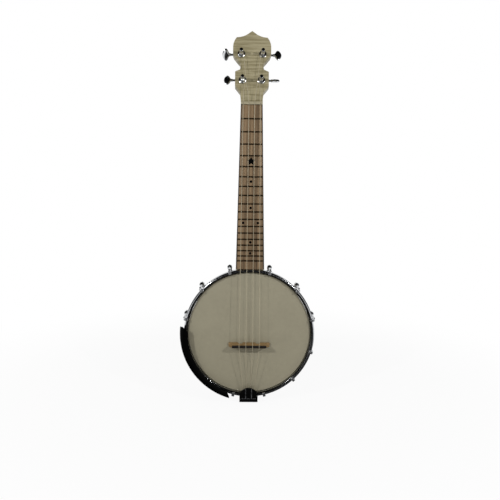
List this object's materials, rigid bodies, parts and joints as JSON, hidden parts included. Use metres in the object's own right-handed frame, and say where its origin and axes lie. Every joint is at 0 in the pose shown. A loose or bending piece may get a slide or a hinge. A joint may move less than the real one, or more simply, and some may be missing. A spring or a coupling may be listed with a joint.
{
  "type": "banjo ukulele",
  "caption": "Open-backed banjo ukulele with a hooked tension hoop, film head, fretted neck, armrest and geared tuners that turn.",
  "frame": {"origin": "on the wooden rim's back edge, in the middle of its wall, at the tail end on the centre line", "axes": "+Z along the neck towards the headstock, -Y out of the face towards the player's audience, +X to the right as the face is seen from the front"},
  "size_m": [0.2266, 0.0709, 0.6072],
  "materials": {
    "maple": "figured maple under a satin varnish",
    "board_wood": "open-grained brown fingerboard wood, oiled, with nickel frets",
    "ebony": "polished ebony",
    "bridge_maple": "plain maple, unvarnished",
    "bone": "polished bone",
    "head_film": "frosted coated drum film",
    "chrome": "bright plated",
    "steel": "plain plated steel",
    "black_metal": "black lacquered",
    "black_shell": "black moulded armrest",
    "string_nylon": "translucent nylon"
  },
  "bodies": {
    "instrument": {"rim": "maple", "drum_head": "head_film", "flesh_hoop": "steel", "tension_hoop": "chrome", "hook_01": "chrome", "bracket_shoe_01": "chrome", "hook_02": "chrome", "bracket_shoe_02": "chrome", "hook_03": "chrome", "bracket_shoe_03": "chrome", "hook_04": "chrome", "bracket_shoe_04": "chrome", "hook_05": "chrome", "bracket_shoe_05": "chrome", "hook_06": "chrome", "bracket_shoe_06": "chrome", "hook_07": "chrome", "bracket_shoe_07": "chrome", "hook_08": "chrome", "bracket_shoe_08": "chrome", "hook_09": "chrome", "bracket_shoe_09": "chrome", "hook_10": "chrome", "bracket_shoe_10": "chrome", "hook_11": "chrome", "bracket_shoe_11": "chrome", "hook_12": "chrome", "bracket_shoe_12": "chrome", "coordinator_rod": "steel", "tail_nut": "steel", "tailpiece": "black_metal", "tailpiece_hanger": "black_metal", "armrest": "black_shell", "armrest_clamp_upper": "steel", "armrest_clamp_lower": "steel", "neck": "maple", "fingerboard": "board_wood", "nut": "bone", "bridge_base": "bridge_maple", "bridge_cap": "ebony", "string_1": "string_nylon", "string_2": "string_nylon", "string_3": "string_nylon", "string_4": "string_nylon", "tuner_plate_1": "steel", "tuner_bushing_1": "chrome", "tuner_plate_2": "steel", "tuner_bushing_2": "chrome", "tuner_plate_3": "steel", "tuner_bushing_3": "chrome", "tuner_plate_4": "steel", "tuner_bushing_4": "chrome"},
    "post_1": {"tuner_post_1": "chrome"},
    "button_1": {"tuner_button_1": "chrome"},
    "post_2": {"tuner_post_2": "chrome"},
    "button_2": {"tuner_button_2": "chrome"},
    "post_3": {"tuner_post_3": "chrome"},
    "button_3": {"tuner_button_3": "chrome"},
    "post_4": {"tuner_post_4": "chrome"},
    "button_4": {"tuner_button_4": "chrome"}
  },
  "joints": [
    {"name": "button_1_turn", "type": "hinge", "parent": "instrument", "child": "button_1", "pos_m": [-0.0171, -0.02192, 0.55153], "axis": [1, 0, 0], "continuous": true},
    {"name": "post_1_turn", "type": "hinge", "parent": "instrument", "child": "post_1", "pos_m": [-0.0171, -0.04137, 0.547], "axis": [0, -0.9736, 0.2284], "continuous": true},
    {"name": "button_2_turn", "type": "hinge", "parent": "instrument", "child": "button_2", "pos_m": [-0.0148, -0.03195, 0.50879], "axis": [1, 0, 0], "continuous": true},
    {"name": "post_2_turn", "type": "hinge", "parent": "instrument", "child": "post_2", "pos_m": [-0.0148, -0.05139, 0.50426], "axis": [0, -0.9736, 0.2284], "continuous": true},
    {"name": "button_3_turn", "type": "hinge", "parent": "instrument", "child": "button_3", "pos_m": [0.0148, -0.03195, 0.50879], "axis": [1, 0, 0], "continuous": true},
    {"name": "post_3_turn", "type": "hinge", "parent": "instrument", "child": "post_3", "pos_m": [0.0148, -0.05139, 0.50426], "axis": [0, -0.9736, 0.2284], "continuous": true},
    {"name": "button_4_turn", "type": "hinge", "parent": "instrument", "child": "button_4", "pos_m": [0.0171, -0.02192, 0.55153], "axis": [1, 0, 0], "continuous": true},
    {"name": "post_4_turn", "type": "hinge", "parent": "instrument", "child": "post_4", "pos_m": [0.0171, -0.04137, 0.547], "axis": [0, -0.9736, 0.2284], "continuous": true}
  ],
  "couplings": [
    {"joint": "post_1_turn", "follows": "button_1_turn", "ratio": 0.071429},
    {"joint": "post_2_turn", "follows": "button_2_turn", "ratio": 0.071429},
    {"joint": "post_3_turn", "follows": "button_3_turn", "ratio": 0.071429},
    {"joint": "post_4_turn", "follows": "button_4_turn", "ratio": 0.071429}
  ]
}
